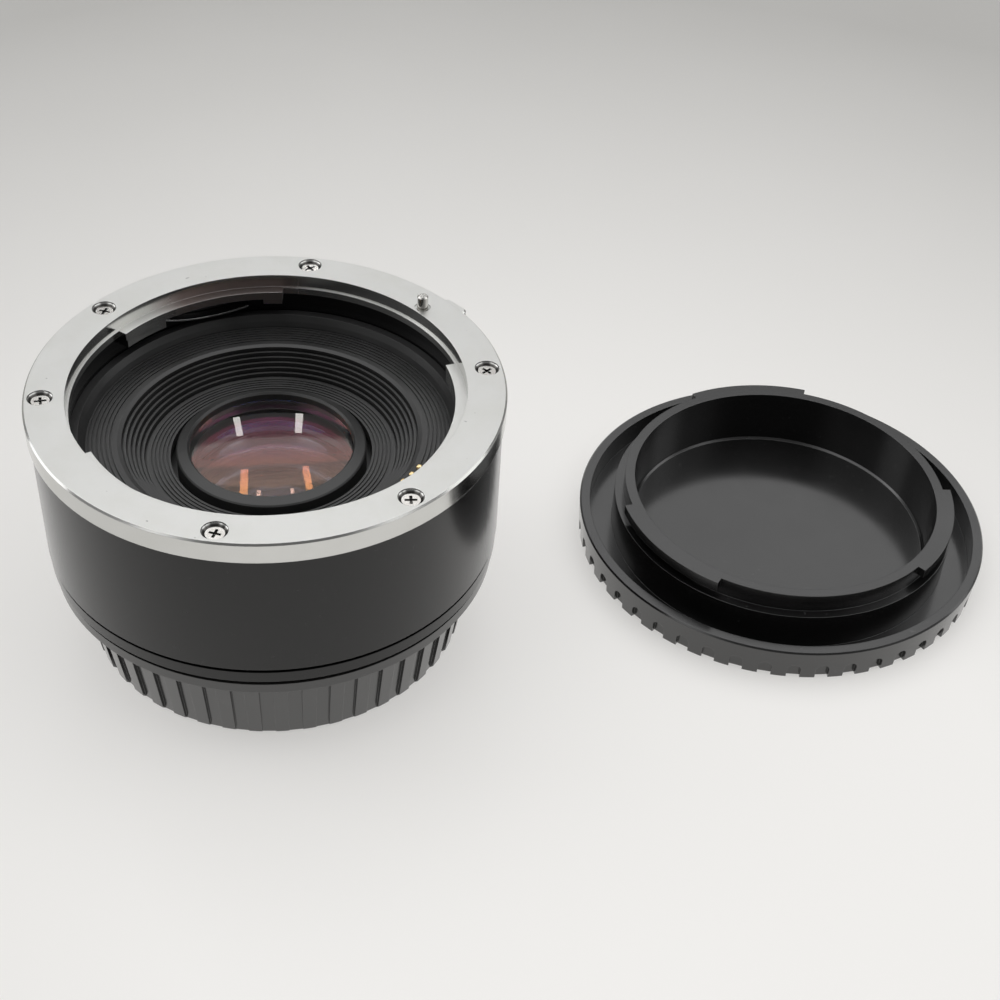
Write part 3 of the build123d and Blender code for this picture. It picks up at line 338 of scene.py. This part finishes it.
def black_lacquer():
    """Semi-matt black coating of the barrel: fine orange peel, dust, and edges lightened partly as wear and
    partly as painted highlight.
    """
    look = Finish("black_barrel", Specular_IOR_Level=0.40, Sheen_Weight=0.40, Sheen_Roughness=0.30)
    cloud = look.noise(scale=60.0, detail=4.0)
    tone = look.mottle(cloud, grey(0.003), grey(0.005))
    tone = look.cover(tone, grey(0.20), look.specks(scale=1500.0, low=0.70, high=0.74), share=0.08)
    # Edges lightened partly as wear and partly as painted highlight
    tone = look.cover(tone, grey(0.16), look.edge(width=0.10 * mm), share=0.5)
    look.feed(Base_Color=tone, Roughness=look.between(cloud, 0.17, 0.22))
    look.bump(look.noise(scale=2600.0), strength=0.25, distance=0.02 * mm, bevel=0.10 * mm)
    return look.material


def cap_plastic():
    """Moulded black plastic of both caps: slight mottle, scuffs, dust, and edges lightened partly as wear
    and partly as painted highlight.
    """
    look = Finish("cap_plastic", Specular_IOR_Level=0.95)
    cloud = look.noise(scale=45.0, detail=4.0)
    tone = look.mottle(cloud, grey(0.006), grey(0.010))
    tone = look.cover(tone, grey(0.22), look.specks(scale=1300.0, low=0.70, high=0.74), share=0.12)
    # Edges lightened partly as wear and partly as painted highlight
    tone = look.cover(tone, grey(0.18), look.edge(width=0.12 * mm), share=0.5)
    look.feed(Base_Color=tone, Roughness=look.between(cloud, 0.16, 0.24))
    look.bump(look.noise(scale=3200.0), strength=0.2, distance=0.02 * mm, bevel=0.12 * mm)
    return look.material


def matt_black(name, level, roughness, grain_scale, strength):
    """Black plastic or paint with a fine grain and edges paler as painted highlight."""
    look = Finish(name, Specular_IOR_Level=0.6)
    cloud = look.noise(scale=120.0)
    tone = look.mottle(cloud, grey(level), grey(level * 1.5))
    # Painted highlight: edges paler than the faces
    tone = look.cover(tone, grey(level * 4 + 0.02), look.edge(width=0.08 * mm), share=0.4)
    look.feed(Base_Color=tone, Roughness=look.between(cloud, roughness - 0.05, roughness + 0.05))
    look.bump(look.noise(grain_scale), strength, distance=0.03 * mm, bevel=0.08 * mm)
    return look.material


def flat_finish(name, colour, other, roughness, scale):
    """Paint, film or board with a mottle."""
    look = Finish(name)
    cloud = look.noise(scale, detail=4.0)
    look.feed(Base_Color=look.mottle(cloud, colour, other),
              Roughness=look.between(cloud, roughness - 0.06, roughness + 0.06))
    look.bump(cloud, strength=0.15, distance=0.02 * mm, bevel=0.05 * mm)
    return look.material


def gold():
    """Plated contacts with tiny polishing marks."""
    look = Finish("contact_gold", Metallic=1.0)
    marks = look.noise(scale=4000.0)
    look.feed(Base_Color=look.mottle(marks, (0.95, 0.78, 0.45, 1), (0.82, 0.60, 0.30, 1)),
              Roughness=look.between(marks, 0.12, 0.26))
    look.bump(marks, strength=0.1, distance=0.01 * mm, bevel=0.05 * mm)
    return look.material


def coated_glass(name, front_nm, back_nm, film_ior, ior):
    """Clear glass with a coating of its own thickness on each side, which colours what that side mirrors."""
    look = Finish("glass_" + name, Transmission_Weight=1.0, Roughness=0.0, IOR=ior, Thin_Film_IOR=film_ior)
    low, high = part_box(name)
    middle = (low.z + high.z) / 2
    height = look.axes(look.place())[2]
    film = look.spread(height, middle - film_change, middle + film_change, back_nm, front_nm)
    haze = look.spread(look.noise(scale=350.0, detail=4.0), 0.45, 0.8)
    look.feed(Base_Color=look.mix(haze, grey(1.0), grey(0.97)), Thin_Film_Thickness=film)
    return look.material


finishes = {
    "satin_nickel": turned_metal(
        "satin_nickel", grey(0.71, (1, 1.0, 0.975)), grey(0.675, (1, 1, 0.96)), face_roughness=0.42,
        wall_roughness=0.15, tarnish_and_reflection_tone=grey(0.36, (1.1, 0.96, 0.92)), shade_top=-0.25 * mm),
    "screw_steel": turned_metal(
        "screw_steel", grey(0.78, (1, 0.98, 0.94)), grey(0.60, (1, 0.95, 0.9)), face_roughness=0.16,
        wall_roughness=0.12, shade_top=-0.53 * mm),
    "spring_steel": turned_metal(
        "spring_steel", grey(0.72), grey(0.60), face_roughness=0.22, wall_roughness=0.16),
    "frame_aluminium": turned_metal(
        "frame_aluminium", grey(0.75), grey(0.66), face_roughness=0.40, wall_roughness=0.30),
    "black_barrel": black_lacquer(),
    "cap_plastic": cap_plastic(),
    "baffle_black": matt_black("baffle_black", 0.020, 0.40, grain_scale=2400.0, strength=0.35),
    "cell_black": matt_black("cell_black", 0.026, 0.40, grain_scale=2600.0, strength=0.25),
    "contact_plastic": matt_black("contact_plastic", 0.014, 0.42, grain_scale=2800.0, strength=0.25),
    "contact_gold": gold(),
    "index_red": flat_finish(
        "index_red", (0.55, 0.015, 0.012, 1), (0.42, 0.010, 0.010, 1), roughness=0.35, scale=900.0),
    "flex_amber": flat_finish(
        "flex_amber", (0.42, 0.17, 0.03, 1), (0.30, 0.11, 0.02, 1), roughness=0.35, scale=700.0),
    "board_green": flat_finish(
        "board_green", (0.01, 0.11, 0.04, 1), (0.01, 0.07, 0.03, 1), roughness=0.40, scale=600.0),
}


def dress_nodes():
    """Every node of the frame gets the finish of its slot, and each lens its own coating."""
    for name, node in nodes.items():
        slot = node.data.materials[0].name.split(".")[0]
        if name in glass_films:
            finish = coated_glass(name, *glass_films[name])
        else:
            finish = finishes[slot]
        node.data.materials[0] = finish


def coil_mesh(name, bottom, height, radius, wire):
    """Mesh of a wire that winds upward round the axis above a point, with closed ends."""
    steps = coil_turns * coil_steps
    verts, faces = [], []
    for i in range(steps + 1):
        share = i / steps
        angle = 2 * math.pi * coil_turns * share
        # The first and the last turn rise little
        lift = (share - math.sin(2 * math.pi * share) / (2 * math.pi)) * (height - wire)
        out = Vector((math.cos(angle), math.sin(angle), 0))
        middle = bottom + Vector((0, 0, wire / 2 + lift)) + out * radius
        for k in range(wire_sides):
            around = 2 * math.pi * k / wire_sides
            verts.append(middle + (out * math.cos(around) + Vector((0, 0, math.sin(around)))) * wire / 2)
    for i in range(steps):
        start = i * wire_sides
        above = start + wire_sides
        for k in range(wire_sides):
            after = (k + 1) % wire_sides
            faces.append((start + k, start + after, above + after, above + k))
    faces.append(tuple(range(wire_sides))[::-1])
    faces.append(tuple(range(steps * wire_sides, (steps + 1) * wire_sides)))
    mesh = bpy.data.meshes.new(name)
    mesh.from_pydata(verts, [], faces)
    mesh.polygons.foreach_set("use_smooth", [len(face) == 4 for face in faces])
    mesh.materials.append(finishes["spring_steel"])
    return mesh


def wind_coil(node, wire):
    """Coil spring in place of a plain tube of the frame, hung on the teleconverter's body."""
    low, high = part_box(node)
    centre = (low + high) / 2
    height = high.z - low.z
    radius = (high.x - low.x) / 2 - wire / 2
    mesh = coil_mesh("coil_" + node, Vector((centre.x, centre.y, low.z)), height, radius, wire)
    coil = bpy.data.objects.new("coil_" + node, mesh)
    bpy.context.scene.collection.objects.link(coil)
    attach(coil, "teleconverter")
    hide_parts(node)
    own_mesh(coil)


def floor_paint():
    """Pale paint that takes soft shadows, with a painted pool of light round the part, and has some light of
    its own where it is seen or mirrored.
    """
    look = Finish("floor_paint", Specular_IOR_Level=0.4, Roughness=0.35)
    away = look.add("VectorMath", {0: look.place(), 1: light_pool_middle}, operation="DISTANCE").outputs["Value"]
    cloud = look.noise(scale=7.0, detail=4.0, roughness=0.55)
    pool_lit_tone = grey(0.90, (1, 0.985, 0.96))
    pool_outer_tone = grey(0.46, (1, 0.985, 0.95))
    # Painted pool of light: pale tone near the part, dim further out
    tone = look.mix(look.spread(away, *light_pool_reach), pool_lit_tone, pool_outer_tone)
    tone = look.mix(look.between(cloud, 0.0, 0.06), tone, grey(1.0))
    look.feed(Base_Color=tone)
    path = look.add("LightPath").outputs
    mirrored = look.math("MAXIMUM", path["Is Glossy Ray"], path["Is Transmission Ray"])
    own_light = look.math("MAXIMUM", look.product(path["Is Camera Ray"], seen_light),
                          look.product(mirrored, mirrored_light))
    glow = look.add("Emission", {"Color": tone, "Strength": glow_level})
    blend = look.add("MixShader", {0: own_light, 1: look.shader.outputs[0], 2: glow.outputs[0]})
    look.tree.links.new(blend.outputs[0], look.tree.nodes["Material Output"].inputs["Surface"])
    return look.material


def make_stage():
    """Round floor, wide enough to reach the horizon of every view."""
    rim = []
    for i in range(floor_sides):
        angle = 2 * math.pi * i / floor_sides
        rim.append((floor_reach * math.cos(angle), floor_reach * math.sin(angle), ground_z))
    mesh = bpy.data.meshes.new("floor")
    mesh.from_pydata(rim, [], [list(range(floor_sides))])
    mesh.materials.append(floor_paint())
    floor = bpy.data.objects.new("floor", mesh)
    bpy.context.scene.collection.objects.link(floor)


def make_lamp(name, azimuth, elevation, distance, width, height, level):
    """Area light that faces the part and isn't seen itself; its face has this level, where 1 is white."""
    side = math.radians(azimuth)
    rise = math.radians(elevation)
    outward = Vector((math.sin(side) * math.cos(rise), math.cos(side) * math.cos(rise), math.sin(rise)))
    offset = outward * distance
    data = bpy.data.lights.new(name, "AREA")
    data.shape = "RECTANGLE"
    data.size = width
    data.size_y = height
    data.energy = level * math.pi * width * height
    lamp = bpy.data.objects.new(name, data)
    turn = (-offset).to_track_quat("-Z", "Y").to_matrix().to_4x4()
    lamp.matrix_world = Matrix.Translation(lamp_aim + offset) @ turn
    lamp.visible_camera = False
    bpy.context.scene.collection.objects.link(lamp)


def make_world():
    """Soft room: dim walls with two tall windows behind the part, bright ceiling, dark place in front."""
    world = bpy.data.worlds.new("studio")
    world.use_nodes = True
    room = Graph(world.node_tree)
    direction = room.add("TexCoord").outputs["Generated"]
    x, y, z = room.axes(direction)

    cove = room.product(room.ease(z, *cove_low), room.ease(z, *cove_high, 1.0, 0.0), cove_level)
    level = room.total(room.ease(z, *wall_top, wall_level, ceiling_level),
                       room.ease(z, *ceiling_middle, 0.0, middle_level - ceiling_level), cove)
    toward_viewer = room.alike(direction, camera_place.normalized())
    level = room.product(level, room.ease(toward_viewer, *viewer_edge, 1.0, viewer_share))

    across = room.math("DIVIDE", x, y)
    upright = room.product(room.math("GREATER_THAN", z, window_bottom),
                           room.math("LESS_THAN", z, wall_top[0]),
                           room.math("GREATER_THAN", y, 0.0))
    for azimuth, half_width in windows:
        middle = math.tan(math.radians(azimuth))
        inside = room.math("COMPARE", across, middle, math.radians(half_width))
        level = room.total(level, room.product(inside, upright, window_level))

    seen = room.add("LightPath").outputs["Is Camera Ray"]
    unseen = room.math("SUBTRACT", 1.0, seen)
    level = room.total(room.product(level, unseen), room.product(seen, backdrop_level))
    background = room.tree.nodes["Background"]
    background.inputs["Color"].default_value = (1, 1, 1, 1)
    room.tree.links.new(level, background.inputs["Strength"])
    bpy.context.scene.world = world


dress_nodes()
wind_coil("release_spring", release_wire)
for number in range(1, contact_count + 1):
    wind_coil(f"contact_spring_{number}", contact_wire)
make_stage()
make_world()
for lamp_name, lamp_values in lamps.items():
    make_lamp(lamp_name, *lamp_values)
make_camera()
bpy.context.scene.view_settings.view_transform = "Standard"
